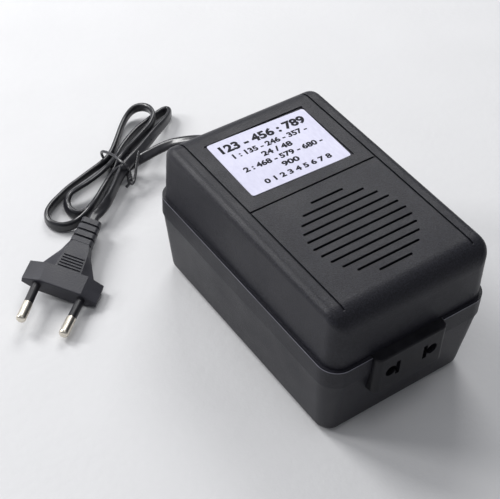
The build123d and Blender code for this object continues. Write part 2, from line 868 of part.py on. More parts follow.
def make_splice_caps():
    """Closed-end caps over the joints between the cord's cores and the coil's leads."""
    caps = []
    for x in splice_places():
        cap = lengthwise(splice_radius, cord_end_y - splice_length, cord_end_y, x, exit_height)
        caps.append(fillet(cap.edges().group_by(Axis.Y)[-1], splice_radius / 2))
    return caps


def lead_tube(points):
    path = FilletPolyline(*points, radius=lead_bend_radius)
    return tube(path, lead_radius)


def make_supply_leads():
    """From each splice cap, over the bobbin's rear flange, to the coil's rear face."""
    leads = []
    coil_face = core_y + bobbin_outer_y + coil_thickness + lead_gap
    start_y = cord_end_y - splice_length
    for side, x in zip((-1, 1), splice_places()):
        end_x = side * (core_stack / 2 + coil_overhang / 2)
        leads.append(lead_tube([
            (x, start_y, exit_height),
            (x, start_y - lead_run_out, exit_height),
            (end_x, start_y - lead_run_out, exit_height),
            (end_x, coil_face, exit_height),
        ]))
    return leads


def make_outlet_leads():
    """From each contact's tail, round the core's leg, to the coil's front face."""
    leads = []
    coil_face = core_y - bobbin_outer_y - coil_thickness - lead_gap
    tail_y = outlet_face_y + outlet_depth + contact_tail_length / 2
    level = outlet_axis_z + contact_inner_radius + contact_thickness + lead_radius + winding_gap
    turn_y = tail_y - lead_radius
    for side, x in zip((-1, 1), outlet_pin_places()):
        end_x = side * (core_stack / 2 + coil_overhang / 2)
        leads.append(lead_tube([
            (x - side * contact_tail_width / 2, turn_y, level),
            (end_x, turn_y, level),
            (end_x, coil_face, level),
        ]))
    return leads


def plug_section(width, thickness, flat_width, wing_thickness):
    """A flattened hexagon: two flats joined by slanting sides to thin wings."""
    right = [
        (flat_width / 2, thickness / 2),
        (width / 2, wing_thickness / 2),
        (width / 2, -wing_thickness / 2),
        (flat_width / 2, -thickness / 2),
    ]
    left = [(-y, z) for y, z in reversed(right)]
    return make_face(Polyline(*right, *left, close=True))


def plug_frame(outward):
    """The plug's cross plane at a distance in front of its pin face."""
    return Plane(origin=(outward, 0, 0), x_dir=(0, 1, 0), z_dir=(1, 0, 0))


def plug_location():
    """The plug's own frame: X out of the pins, Y across them, Z out of the upper flat."""
    plug_x = mouth[0] + plug_front_from_mouth[0]
    plug_y = mouth[1] + plug_front_from_mouth[1]
    place = Location((plug_x, plug_y, plug_front_z))
    return place * Rot(0, 0, plug_heading) * Rot(0, -plug_pitch, 0) * Rot(-plug_roll, 0, 0)


relief_length = relief_ring_count * relief_ring_thickness + (relief_ring_count - 1) * relief_groove_width
plug_grip_end = plug_front_length + plug_grip_length
plug_relief_start = plug_grip_end + plug_neck_length
plug_length = plug_relief_start + relief_length


def make_plug_body():
    front_section = plug_section(plug_width, plug_thickness, plug_flat_width, plug_wing_thickness)
    front = extrude(plug_frame(-plug_front_length) * front_section, plug_front_length, dir=(1, 0, 0))
    front = fillet(front.faces().sort_by(Axis.X)[-1].edges(), plug_edge_radius)
    grip_section = plug_section(plug_grip_width, plug_grip_thickness, plug_grip_flat_width,
                                plug_grip_wing_thickness)
    waist_section = plug_section(plug_waist_width, plug_waist_thickness, plug_waist_flat_width,
                                 plug_waist_wing_thickness)
    neck_section = plug_section(plug_neck_width, plug_neck_thickness, plug_neck_flat_width,
                                plug_neck_wing_thickness)
    grip = loft([plug_frame(-plug_grip_end) * waist_section, plug_frame(-plug_front_length) * grip_section],
                ruled=True)
    neck = loft([plug_frame(-plug_relief_start) * neck_section, plug_frame(-plug_grip_end) * waist_section],
                ruled=True)
    body = front + grip + neck
    core = SlotOverall(relief_core_width, relief_core_thickness)
    body += extrude(plug_frame(-plug_length) * core, relief_length, dir=(1, 0, 0))
    for index in range(relief_ring_count):
        share = index / (relief_ring_count - 1)
        width = relief_root_width + share * (relief_tip_width - relief_root_width)
        height = relief_root_thickness + share * (relief_tip_thickness - relief_root_thickness)
        start = plug_relief_start + index * (relief_ring_thickness + relief_groove_width)
        ring = RectangleRounded(width, height, height / 4)
        body += extrude(plug_frame(-start - relief_ring_thickness) * ring, relief_ring_thickness,
                        dir=(1, 0, 0))
    body += plug_grip_ribs()
    for side in (-1, 1):
        place = plug_pin_place(side) * Rot(0, 90, 0)
        body -= place * Cylinder(pin_shank_radius + moulding_clearance, 2 * pin_root_length)
        body -= place * Cylinder(sleeve_radius + moulding_clearance, 2 * seat_clearance)
    return body


def plug_grip_ribs():
    """Fine ribs across both flats of the grip, a little narrower than the flat where each one lies."""
    ribs = []
    drop = (plug_grip_thickness - plug_waist_thickness) / 2
    slope = math.degrees(math.atan2(drop, plug_grip_length))
    for index in range(plug_grip_rib_count):
        back = plug_grip_rib_pitch * (index + 1)
        share = back / plug_grip_length
        flat = plug_grip_flat_width + share * (plug_waist_flat_width - plug_grip_flat_width)
        height = plug_grip_thickness / 2 - share * drop
        for side in (-1, 1):
            rib = Box(plug_grip_rib_width, flat - 2 * plug_grip_rib_width, 2 * plug_grip_rib_height)
            place = Pos(-plug_front_length - back, 0, side * height) * Rot(0, -side * slope, 0)
            ribs.append(place * rib)
    return ribs


pin_lean = math.degrees(math.atan2((pin_base_spacing - pin_tip_spacing) / 2, pin_length))


def plug_pin_place(side):
    """Where a pin leaves the pin face, leaning a little towards the other one."""
    return Pos(0, side * pin_base_spacing / 2, 0) * Rot(0, 0, -side * pin_lean)


def make_plug_pin(side):
    """A solid pin: a slim shank moulded into the body and a full-size bare end."""
    bare = pin_length - sleeve_length
    tip = Pos(pin_length - bare / 2, 0, 0) * Rot(0, 90, 0) * Cylinder(pin_radius, bare)
    tip = fillet(tip.edges().group_by(Axis.X)[-1], pin_tip_radius)
    shank_length = sleeve_length + pin_root_length - seat_clearance
    shank = Pos(sleeve_length - shank_length / 2, 0, 0) * Rot(0, 90, 0) * Cylinder(pin_shank_radius,
                                                                                   shank_length)
    return plug_pin_place(side) * (tip + shank)


def make_pin_sleeve(side):
    ring = Cylinder(sleeve_radius, sleeve_length)
    ring -= Cylinder(pin_shank_radius + moulding_clearance, sleeve_length)
    return plug_pin_place(side) * Pos(sleeve_length / 2, 0, 0) * Rot(0, 90, 0) * ring


def cord_stretches():
    """Three stretches that meet halfway along two of the route's runs."""
    lead = [Vector(*mouth) + Vector(*point) for point in lead_route]
    hank = [hank_point(*point) for point in hank_route]
    plug_end = (plug_location() * Location((-plug_length, 0, 0))).position
    plug_exit = (plug_location() * Location((-plug_length - tail_run, 0, 0))).position
    first_split = (lead[-1] + hank[0]) / 2
    second_split = (hank[-2] + hank[-1]) / 2
    return {
        "cord_lead": lead + [first_split],
        "cord_hank": [first_split] + hank[:-1] + [second_split],
        "cord_tail": [second_split, hank[-1], plug_exit, plug_end],
    }


def make_twist_tie():
    """A plastic-coated wire round the waist, twisted at one side, with two loose ends."""
    ring_points = [hank_point(tie_along, aside, height) for aside, height in tie_route]
    ring = FilletPolyline(*ring_points, radius=tie_corner_radius, close=True)
    tie = tube(ring, tie_radius)
    knot = hank_point(tie_along, *tie_knot)
    tie += Pos(*knot) * Cylinder(tie_twist_radius, tie_twist_length)
    for points in tie_tails:
        path = FilletPolyline(*[hank_point(*point) for point in points], radius=tie_corner_radius)
        tie += tube(path, tie_radius)
    return tie


def least_gap(path, diameter, step):
    """The least clear distance between parts of a tube that are well apart along it."""
    count = int(path.length / step)
    points = [path @ (index / count) for index in range(count + 1)]
    apart = int(3 * diameter / step)
    gap = math.inf
    for index, point in enumerate(points):
        for other in points[index + apart:]:
            gap = min(gap, (point - other).length)
    return gap - diameter


def write(name, solid):
    if isinstance(solid, (list, ShapeList)):
        solid = Compound(children=list(solid))
    export_step(solid, f"parts/{name}.step")


write("lower_shell", make_lower_shell())
write("upper_shell", make_upper_shell())
write("rating_label", make_rating_label())
write("outlet_block", make_outlet_block())
write("outlet_contact_left", make_contact(0))
write("outlet_contact_right", make_contact(1))
write("case_screws", make_case_screws())
write("rubber_feet", make_rubber_feet())
write("core_e_stack", make_core_e_stack())
write("core_i_stack", make_core_i_stack())
write("bobbin", make_bobbin())
for layer_name, layer in make_coil_layers().items():
    write(layer_name, layer)
write("core_bracket", make_core_bracket())
write("bracket_screws", make_bracket_screws())
write("thermal_cutoff", make_thermal_cutoff())
write("cord_bushing", make_cord_bushing())
write("cord_inside", make_cord_inside())
write("cord_clamp", make_cord_clamp())
write("clamp_screws", make_clamp_screws())
write("splice_caps", make_splice_caps())
for lead_name, leads in (("supply_lead", make_supply_leads()), ("outlet_lead", make_outlet_leads())):
    for side_name, lead in zip(("left", "right"), leads):
        write(f"{lead_name}_{side_name}", lead)

plug_place = plug_location()
write("plug_body", plug_place * make_plug_body())
for side_name, side in (("left", -1), ("right", 1)):
    write(f"plug_pin_{side_name}", plug_place * make_plug_pin(side))
    write(f"pin_sleeve_{side_name}", plug_place * make_pin_sleeve(side))
    pin_place = plug_place * plug_pin_place(side)
    wall_middle = pin_place * Location(((sleeve_length + pin_length - pin_tip_radius) / 2, 0, 0))
    print("plug pin", side_name, "middle of the bare wall", wall_middle.position,
          "direction", (pin_place * Location((1, 0, 0))).position - pin_place.position)

cord_length = bushing_length
for stretch_name, stretch_points in cord_stretches().items():
    stretch, bend_radii = route_path(stretch_points)
    solid = tube(stretch, cord_diameter / 2)
    write(stretch_name, solid)
    cord_length += stretch.length
    section = math.pi * cord_diameter ** 2 / 4
    print(stretch_name, "length", round(stretch.length, 1), "radii", [round(r, 1) for r in bend_radii])
    print(stretch_name, "volume over section times length", round(solid.volume / (section * stretch.length), 4))
    if stretch_name == "cord_hank":
        print("least gap of the hank to itself", round(least_gap(stretch, cord_diameter, gap_step), 2))
print("free length of the cord", round(cord_length - bushing_length, 1))
write("twist_tie", make_twist_tie())
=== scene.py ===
# %% [markdown]
# # A travel voltage converter, dressed in Blender
#
# The solids of the converter come in first, as a fixed frame: every later piece is laid on
# them, in metres, with +Z up and +Y running from the outlet to the end where the lead leaves.

# %% Load the frame
import math

import bmesh
import bpy
from mathutils import Matrix, Vector


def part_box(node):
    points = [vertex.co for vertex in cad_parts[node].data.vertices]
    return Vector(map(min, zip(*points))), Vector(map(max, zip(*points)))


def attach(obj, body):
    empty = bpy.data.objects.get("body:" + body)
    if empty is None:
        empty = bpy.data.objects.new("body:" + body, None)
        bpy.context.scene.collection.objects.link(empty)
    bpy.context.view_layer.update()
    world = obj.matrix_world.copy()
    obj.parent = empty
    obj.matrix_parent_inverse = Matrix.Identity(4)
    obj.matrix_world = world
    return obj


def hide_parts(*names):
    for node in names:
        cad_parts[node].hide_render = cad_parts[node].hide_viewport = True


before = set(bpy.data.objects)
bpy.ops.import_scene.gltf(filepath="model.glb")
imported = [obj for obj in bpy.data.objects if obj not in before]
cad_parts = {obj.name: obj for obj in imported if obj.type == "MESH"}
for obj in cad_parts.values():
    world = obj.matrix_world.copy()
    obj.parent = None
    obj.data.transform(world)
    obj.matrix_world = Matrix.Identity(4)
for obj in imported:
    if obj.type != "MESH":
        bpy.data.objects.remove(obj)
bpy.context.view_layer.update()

MM = 0.001

# %% [markdown]
# ## The camera
#
# The photograph looks down on the case from beyond its front left corner, at 45 degrees, from
# nearly half a metre away through a long lens. A camera can be placed by hand, but here its
# three axes are worked out from a heading, a height and a small roll, and written straight
# into its matrix, so each of the three can be changed on its own.

# %% Place the camera
camera_target = Vector((-39.4, -8.48, 64.4)) * MM
camera_distance = 438.7 * MM
camera_heading = math.radians(-37.31)
camera_height = math.radians(45.2)
camera_roll = math.radians(3.263)

backward = Vector((math.sin(camera_heading) * math.cos(camera_height),
                   -math.cos(camera_heading) * math.cos(camera_height),
                   math.sin(camera_height)))
level = (-backward).cross(Vector((0, 0, 1))).normalized()
upright = level.cross(-backward)
rightward = math.cos(camera_roll) * level + math.sin(camera_roll) * upright
upward = math.cos(camera_roll) * upright - math.sin(camera_roll) * level

lens = bpy.data.cameras.new("long_lens")
lens.sensor_width = 36.0
lens.lens = 90.88
lens.clip_start = 0.02
lens.clip_end = 20.0
camera = bpy.data.objects.new("camera", lens)
bpy.context.scene.collection.objects.link(camera)
axes = Matrix((rightward, upward, backward)).transposed().to_4x4()
camera.matrix_world = Matrix.Translation(camera_target + camera_distance * backward) @ axes
bpy.context.scene.camera = camera
print("camera at", [round(c, 4) for c in camera.matrix_world.translation])

# %% [markdown]
# ## Helpers for finishes
#
# Every finish below is a small node tree on Object coordinates, which are metres here: a noise
# scale of 1000 gives grains of about a millimetre. The helper sets the values that are the same
# all over straight on the shader's own sockets, and hands back what a finish needs to add its
# own grain and tint. Pictures of real surfaces could do this too, but they would need a map
# laid over each solid, and a noise fits any shape as it is.

# %% Start a material


def start_finish(name, roughness, **sockets):
    """A material with its shader, its Object coordinates and the values that don't vary."""
    material = bpy.data.materials.new(name)
    material.use_nodes = True
    tree = material.node_tree
    shader = tree.nodes["Principled BSDF"]
    shader.inputs["Roughness"].default_value = roughness
    for socket, value in sockets.items():
        shader.inputs[socket.replace("_", " ")].default_value = value
    place = tree.nodes.new("ShaderNodeTexCoord").outputs["Object"]
    return material, tree, shader, place


def noise(tree, place, scale, detail=4.0, rough=0.55, stretch=(1.0, 1.0, 1.0)):
    """Noise with grains of about 1 / scale metres, longer along an axis stretched under 1."""
    mapping = tree.nodes.new("ShaderNodeMapping")
    mapping.inputs["Scale"].default_value = stretch
    tree.links.new(place, mapping.inputs["Vector"])
    grain = tree.nodes.new("ShaderNodeTexNoise")
    grain.inputs["Scale"].default_value = scale
    grain.inputs["Detail"].default_value = detail
    grain.inputs["Roughness"].default_value = rough
    tree.links.new(mapping.outputs["Vector"], grain.inputs["Vector"])
    return grain.outputs["Fac"]


print("material helpers are ready")

# %% Turn a noise into colour, gloss and relief
noise_low, noise_high = 0.3, 0.7  # nearly all values of a noise lie between these two


def ramp(tree, value, stops):
    """Turns a value into colours at the given stops."""
    node = tree.nodes.new("ShaderNodeValToRGB")
    elements = node.color_ramp.elements
    while len(elements) < len(stops):
        elements.new(0.5)
    for element, (at, colour) in zip(elements, stops):
        element.position = at
        element.color = (*colour, 1.0)
    tree.links.new(value, node.inputs["Fac"])
    return node.outputs["Color"]


def tint(tree, shader, value, dark, light):
    """Colours the shader with a noise, from dark at its low end to light at its high end."""
    colour = ramp(tree, value, [(noise_low, dark), (noise_high, light)])
    tree.links.new(colour, shader.inputs["Base Color"])


def spread(tree, value, low, high):
    """Turns the values of a noise into the range from low to high."""
    node = tree.nodes.new("ShaderNodeMapRange")
    node.inputs["From Min"].default_value = noise_low
    node.inputs["From Max"].default_value = noise_high
    node.inputs["To Min"].default_value = low
    node.inputs["To Max"].default_value = high
    tree.links.new(value, node.inputs["Value"])
    return node.outputs["Result"]


def relief(tree, shader, heights):
    """Chains bumps, each given as (height value, depth in metres), into the shader."""
    normal = None
    for height, depth in heights:
        bump = tree.nodes.new("ShaderNodeBump")
        bump.inputs["Strength"].default_value = 1.0
        bump.inputs["Distance"].default_value = depth
        tree.links.new(height, bump.inputs["Height"])
        if normal is not None:
            tree.links.new(normal, bump.inputs["Normal"])
        normal = bump.outputs["Normal"]
    tree.links.new(normal, shader.inputs["Normal"])


print("colour and relief helpers are ready")

# %% A whole finish in one call
patch_to_grain = 12  # how many times wider the patches of tint are than the grain


def grained(name, dark, light, roughness, grain, depth, **sockets):
    """A finish from its two colours, its range of roughness, and its grain's scale and depth."""
    material, tree, shader, place = start_finish(name, sum(roughness) / 2, **sockets)
    broad = noise(tree, place, grain / patch_to_grain)
    fine = noise(tree, place, grain, detail=2.0)
    tint(tree, shader, broad, dark, light)
    tree.links.new(spread(tree, broad, *roughness), shader.inputs["Roughness"])
    relief(tree, shader, [(fine, depth)])
    return material


print("finish helper is ready")

# %% [markdown]
# ## The lead's line
#
# The lead leaves the bushing, drops to the table, runs five times through a twist tie as a
# loose hank, and ends in the plug. A Bezier curve could follow it, but each of its points
# would need two handles set by hand. Its centre line here is one NURBS spline instead: the
# points below pull it, and between its two ends it touches none of them, which keeps it as
# smooth as a real cord. Each point of the hank is given as along, aside and height in mm from
# the tied waist, with the angle that the flat cord stands at there: 0 lies flat and 90 stands
# on its edge. The points of the free stretch and of the plug's end are given in the frame
# itself, in mm too.

# %% Route points of the lead
hank_centre = Vector((-22.0, 114.0, 0.0))
hank_heading = math.radians(29.0)
lead_route = [
    (13.0, 78.55, 21.0, 0), (13.0, 86.0, 21.0, 0), (10.4, 93.6, 19.0, 5),
    (4.4, 100.5, 15.9, 12), (-1.9, 105.8, 12.4, 25),
]
hank_route = [
    (2.7, -7.2, 6.6, 30), (0.9, -4.5, 4.0, 30), (-2.7, -2.6, 3.9, 45), (-9.2, -2.5, 5.6, 75),
    (-19.1, -4.1, 7.0, 90), (-26.8, -5.4, 7.0, 90), (-33.4, -5.7, 6.2, 90), (-37.9, -3.9, 3.6, 85),
    (-41.9, -1.1, 2.4, 80), (-44.8, 2.9, 2.4, 80), (-44.4, 7.9, 2.4, 85), (-40.7, 11.6, 2.4, 90),
    (-34.8, 12.6, 2.4, 90), (-29.2, 12.2, 2.4, 90), (-23.3, 11.8, 2.4, 90), (-17.3, 10.5, 2.4, 90),
    (-9.9, 9.0, 2.4, 90), (-3.4, 7.4, 2.5, 90), (1.7, 6.6, 2.8, 90), (7.0, 7.2, 2.8, 90),
    (13.1, 9.0, 2.6, 90), (19.5, 11.0, 2.4, 90), (25.5, 12.9, 2.6, 85), (31.6, 13.9, 3.2, 85),
    (36.1, 13.1, 4.6, 85), (38.5, 9.6, 6.0, 85), (37.8, 4.6, 7.0, 85), (33.8, 0.5, 7.2, 85),
    (27.6, -1.3, 7.0, 80), (20.8, -1.1, 6.6, 75), (13.2, -0.7, 6.2, 70), (6.2, -0.3, 5.2, 60),
    (1.8, 0.2, 3.6, 45), (-3.7, -0.1, 2.6, 75), (-11.6, -1.1, 2.4, 90), (-19.1, -2.1, 2.4, 90),
    (-26.1, -2.9, 2.4, 90), (-32.0, -2.7, 2.4, 90), (-34.8, 0.1, 2.4, 80), (-34.3, 4.0, 2.6, 70),
    (-31.2, 7.2, 3.4, 60), (-28.0, 8.0, 5.2, 45), (-24.6, 6.4, 6.3, 40), (-19.3, 4.5, 6.6, 35),
    (-13.1, 3.3, 6.4, 35), (-6.4, 2.8, 5.6, 45), (-0.3, 3.2, 4.2, 60), (4.5, 3.9, 2.9, 75),
    (11.1, 5.0, 2.5, 85), (18.9, 5.5, 2.4, 90), (26.6, 5.4, 2.4, 90), (33.8, 3.9, 2.4, 90),
    (40.2, 2.8, 2.4, 90), (45.1, 1.1, 2.6, 90), (44.8, -1.9, 3.0, 88), (37.7, -4.1, 4.2, 75),
    (28.1, -4.4, 5.4, 60), (18.7, -5.3, 6.6, 50), (9.2, -6.1, 7.6, 48), (0.5, -6.2, 8.6, 42),
    (-4.9, -6.4, 8.9, 42), (-10.2, -6.9, 8.0, 60), (-15.9, -8.0, 7.2, 65), (-21.7, -9.1, 6.8, 60),
    (-26.9, -9.6, 6.3, 40), (-31.8, -9.5, 6.0, 20),
]
plug_entry = [(-48.82, 89.04, 5.93, 11), (-51.2, 86.3, 5.85, 11)]


def hank_point(along, aside, height):
    """A point of the hank in the frame, in metres."""
    c, s = math.cos(hank_heading), math.sin(hank_heading)
    return (hank_centre + Vector((along * c - aside * s, along * s + aside * c, height))) * MM


route = [(Vector(point[:3]) * MM, point[3]) for point in lead_route]
route += [(hank_point(*point[:3]), point[3]) for point in hank_route]
route += [(Vector(point[:3]) * MM, point[3]) for point in plug_entry]
print("route points:", len(route))

# %% Bend one smooth spline along the route
least_step = 0.15 * MM  # points closer than this are left out, so no two sections fall together


def smooth_path(name, points, steps=10):
    """The points that a NURBS spline with these control points runs through."""
    curve = bpy.data.curves.new(name, "CURVE")
    curve.dimensions = "3D"
    curve.resolution_u = steps
    spline = curve.splines.new("NURBS")
    spline.points.add(len(points) - 1)
    for control, point in zip(spline.points, points):
        control.co = (*point, 1.0)
    spline.order_u = 3
    spline.use_endpoint_u = True
    holder = bpy.data.objects.new(name, curve)
    bpy.context.scene.collection.objects.link(holder)
    line = bpy.data.meshes.new_from_object(holder)
    path = [vertex.co.copy() for vertex in line.vertices]
    bpy.data.objects.remove(holder)
    spaced = [path[0]]
    for point in path[1:]:
        if (point - spaced[-1]).length > least_step:
            spaced.append(point)
    return spaced


def arc_lengths(path):
    """How far along the path each of its points lies."""
    run = [0.0]
    for a, b in zip(path, path[1:]):
        run.append(run[-1] + (b - a).length)
    return run


cord_path = smooth_path("cord_line", [point for point, turn in route])
cord_run = arc_lengths(cord_path)
print("cord:", len(cord_path), "points,", round(cord_run[-1] / MM, 1), "mm")

# %% [markdown]
# ## A section swept along a line
#
# The cord and the wire of its tie are both one section drawn along one line. Geometry Nodes do
# it: the line comes in as a chain of mesh edges, each of whose points carries the angle that the
# section stands at there, and the tree turns a circle into the section. The powers flatten the
# circle into an oval with fuller shoulders, and the waist presses a shallow groove between two
# cores. A curve's own bevel can't be told which way up to lie, and this can.

# %% Helpers for node trees


def figure(tree, operation, *values):
    """One sum in a node tree, on sockets or plain numbers."""
    node = tree.nodes.new("ShaderNodeMath")
    node.operation = operation
    for socket, value in zip(node.inputs, values):
        if isinstance(value, (int, float)):
            socket.default_value = value
        else:
            tree.links.new(value, socket)
    return node.outputs[0]


def new_tree(name, sizes):
    """A geometry tree with its named sizes and a finish, and the two ends to build between."""
    tree = bpy.data.node_groups.new(name, "GeometryNodeTree")
    tree.interface.new_socket("Line", in_out="INPUT", socket_type="NodeSocketGeometry")
    for size, kind in sizes.items():
        tree.interface.new_socket(size, in_out="INPUT", socket_type=kind)
    tree.interface.new_socket("Finish", in_out="INPUT", socket_type="NodeSocketMaterial")
    tree.interface.new_socket("Piece", in_out="OUTPUT", socket_type="NodeSocketGeometry")
    return tree, tree.nodes.new("NodeGroupInput").outputs, tree.nodes.new("NodeGroupOutput").inputs


def end_tree(tree, given, result, curve, profile):
    """Sweeps the profile along the curve, closes its ends, and gives it its finish."""
    skin = tree.nodes.new("GeometryNodeCurveToMesh")
    skin.inputs["Fill Caps"].default_value = True
    tree.links.new(curve, skin.inputs["Curve"])
    tree.links.new(profile, skin.inputs["Profile Curve"])
    smooth = tree.nodes.new("GeometryNodeSetShadeSmooth")
    tree.links.new(skin.outputs["Mesh"], smooth.inputs["Geometry"])
    solid = tree.nodes.new("GeometryNodeRealizeInstances")
    tree.links.new(smooth.outputs["Geometry"], solid.inputs["Geometry"])
    dressed = tree.nodes.new("GeometryNodeSetMaterial")
    tree.links.new(solid.outputs["Geometry"], dressed.inputs["Geometry"])
    tree.links.new(given["Finish"], dressed.inputs["Material"])
    tree.links.new(dressed.outputs["Geometry"], result["Piece"])


print("tree helpers are ready")

# %% Geometry nodes for a swept section
swept_section, given, result = new_tree("swept_section", {
    "Width": "NodeSocketFloat", "Thickness": "NodeSocketFloat", "Side Power": "NodeSocketFloat",
    "Face Power": "NodeSocketFloat", "Waist": "NodeSocketFloat", "Sides": "NodeSocketInt"})
nodes, links = swept_section.nodes, swept_section.links
line = nodes.new("GeometryNodeMeshToCurve")
links.new(given["Line"], line.inputs["Mesh"])
level_line = nodes.new("GeometryNodeSetCurveNormal")
level_line.mode = "Z_UP"
links.new(line.outputs["Curve"], level_line.inputs["Curve"])
stored_turn = nodes.new("GeometryNodeInputNamedAttribute")
stored_turn.data_type = "FLOAT"
stored_turn.inputs["Name"].default_value = "turn"
tilted_line = nodes.new("GeometryNodeSetCurveTilt")
links.new(level_line.outputs["Curve"], tilted_line.inputs["Curve"])
links.new(stored_turn.outputs["Attribute"], tilted_line.inputs["Tilt"])
circle = nodes.new("GeometryNodeCurvePrimitiveCircle")
circle.inputs["Radius"].default_value = 1.0
links.new(given["Sides"], circle.inputs["Resolution"])
spot = nodes.new("ShaderNodeSeparateXYZ")
links.new(nodes.new("GeometryNodeInputPosition").outputs["Position"], spot.inputs["Vector"])
print("line and circle of swept_section:", len(nodes), "nodes")

# %% The section's outline, and the sweep
waist_reach = 0.24  # how far the groove between the cores spreads, as a share of the half width


def section_figure(operation, *values):
    """One sum in the tree of the swept section."""
    return figure(swept_section, operation, *values)


def pressed(value, power):
    """The value raised to a power, with its own sign kept."""
    size = section_figure("POWER", section_figure("ABSOLUTE", value), power)
    return section_figure("MULTIPLY", size, section_figure("SIGN", value))


across = pressed(spot.outputs["X"], given["Side Power"])
upward_share = pressed(spot.outputs["Y"], given["Face Power"])
from_middle = section_figure("POWER", section_figure("DIVIDE", across, waist_reach), 2.0)
groove = section_figure("EXPONENT", section_figure("MULTIPLY", from_middle, -1.0))
fullness = section_figure("SUBTRACT", 1.0, section_figure("MULTIPLY", groove, given["Waist"]))
half_width = section_figure("MULTIPLY", given["Width"], 0.5)
half_thickness = section_figure("MULTIPLY", given["Thickness"], 0.5)
waisted_share = section_figure("MULTIPLY", upward_share, fullness)
outline = nodes.new("ShaderNodeCombineXYZ")
links.new(section_figure("MULTIPLY", across, half_width), outline.inputs["X"])
links.new(section_figure("MULTIPLY", waisted_share, half_thickness), outline.inputs["Y"])
section = nodes.new("GeometryNodeSetPosition")
links.new(circle.outputs["Curve"], section.inputs["Geometry"])
links.new(outline.outputs["Vector"], section.inputs["Position"])
end_tree(swept_section, given, result, tilted_line.outputs["Curve"], section.outputs["Geometry"])
print("swept_section:", len(nodes), "nodes")

# %% Angles along a line
look_ahead = 60  # how many points of the path are searched for the route's next point
least_stretch = 1e-9  # keeps two places that are the same from dividing by nothing


def turn_along(path, controls):
    """The section's angle at each point of the path, eased from one route point to the next."""
    run = arc_lengths(path)
    places = []
    nearest = 0
    for point, turn in controls:
        window = range(nearest, min(nearest + look_ahead, len(path)))
        nearest = min(window, key=lambda i: (path[i] - point).length)
        places.append((run[nearest], turn))
    angles = []
    k = 0
    for at in run:
        while k < len(places) - 2 and at > places[k + 1][0]:
            k += 1
        (a, turn_a), (b, turn_b) = places[k], places[k + 1]
        share = min(1.0, max(0.0, (at - a) / max(b - a, least_stretch)))
        eased = share * share * (3 - 2 * share)
        angles.append(math.radians(turn_a + (turn_b - turn_a) * eased))
    return angles


cord_turns = turn_along(cord_path, route)
print("the cord stands between", round(math.degrees(min(cord_turns)), 1), "and",
      round(math.degrees(max(cord_turns)), 1), "degrees")

# %% Lines in, plain pieces out


def chain_mesh(name, chains):
    """A mesh of edge chains, each given as its path and the angles along it."""
    points, edges, turns = [], [], []
    for path, angles in chains:
        start = len(points)
        points += [tuple(point) for point in path]
        edges += [(start + i, start + i + 1) for i in range(len(path) - 1)]
        turns += [-angle for angle in angles]
    mesh = bpy.data.meshes.new(name)
    mesh.from_pydata(points, edges, [])
    mesh.attributes.new("turn", "FLOAT", "POINT").data.foreach_set("value", turns)
    return mesh


def grow(name, mesh, tree, sizes):
    """The tree's result on the mesh as one plain object, with the modifier gone."""
    piece = bpy.data.objects.new(name, mesh)
    bpy.context.scene.collection.objects.link(piece)
    modifier = piece.modifiers.new(tree.name, "NODES")
    modifier.node_group = tree
    for socket in tree.interface.items_tree:
        if socket.name in sizes:
            modifier[socket.identifier] = sizes[socket.name]
    evaluated = piece.evaluated_get(bpy.context.evaluated_depsgraph_get())
    shape = bpy.data.meshes.new_from_object(evaluated)
    piece.modifiers.remove(modifier)
    piece.data = shape
    shape.name = name
    if "turn" in shape.attributes:
        shape.attributes.remove(shape.attributes["turn"])
    return piece


print("line helpers are ready")

# %% [markdown]
# ## The cord's sheath
#
# The sheath is soft black PVC. It has a satin shine, with long bright lines where it turns
# through the light, and fine marks of handling. A shiny base alone would make it look wet. So
# a thin coat over a duller base gives the lines, and a low bump and an uneven roughness give
# the marks.

# %% Finish of the cord
sheath_dark, sheath_light = (0.008, 0.008, 0.011), (0.016, 0.016, 0.021)
cord_sheath, tree, shader, place = start_finish(
    "cord_sheath", 0.3, Specular_IOR_Level=0.46, Coat_Weight=0.35, Coat_Roughness=0.14)
handling = noise(tree, place, 260, detail=5)
pores = noise(tree, place, 2600, detail=2)
tint(tree, shader, handling, sheath_dark, sheath_light)
tree.links.new(spread(tree, handling, 0.26, 0.36), shader.inputs["Roughness"])
relief(tree, shader, [(handling, 0.00002), (pores, 0.000004)])
print("cord finish:", cord_sheath.name)

# %% [markdown]
# ## The flat cord
#
# Two cores lie side by side in one black sheath, so the cord's section is a flat oval, nearly
# twice as wide as it is thick, with the faintest waist between the cores. A round tube would
# be quicker to make, but only a flat one shows how the cord turns over on its way.

# %% The cord along its line
cord_width = 4.6 * MM
cord_thickness = 2.4 * MM
cord_chain = chain_mesh("cord_chain", [(cord_path, cord_turns)])
cord = grow("flat_cord", cord_chain, swept_section, {
    "Width": cord_width, "Thickness": cord_thickness, "Side Power": 0.9, "Face Power": 0.72,
    "Waist": 0.09, "Sides": 28, "Finish": cord_sheath})
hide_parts("cord_lead", "cord_hank", "cord_tail")
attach(cord, "root")
print("cord piece:", len(cord.data.polygons), "faces")

# %% [markdown]
# ## Moulded case plastic
#
# The two shells are one black, fire-retardant plastic with a spark-eroded surface: grains of
# about half a millimetre that break the light up and leave a dull blue-grey sheen on the top.
# Grains cut into the mesh would take millions of faces. Three noises do it here: one for the
# grain, a finer one for the pits in it, and one far broader for the slight cloudiness of the
# sheen. A thin, patchy line of paler colour just under the ledge round the lower shell is a
# painted highlight along that edge. The finish finds it by height alone, so the solid stays
# as it is.

# %% Finish of the case
plastic_dark, plastic_light = (0.005, 0.005, 0.008), (0.02, 0.02, 0.028)
grain_depth = 0.12 * MM
pit_depth = 0.03 * MM
# a thin paler line just under the ledge is a painted highlight: its colour, patchiness and band
painted_highlight_colour = (0.3, 0.3, 0.36, 1.0)
highlight_patchiness = 0.55  # the faintest spot of the painted highlight, as a share of the brightest one
ledge_height = 39.4 * MM
highlight_start = 0.01 * MM
highlight_depth = 0.36 * MM


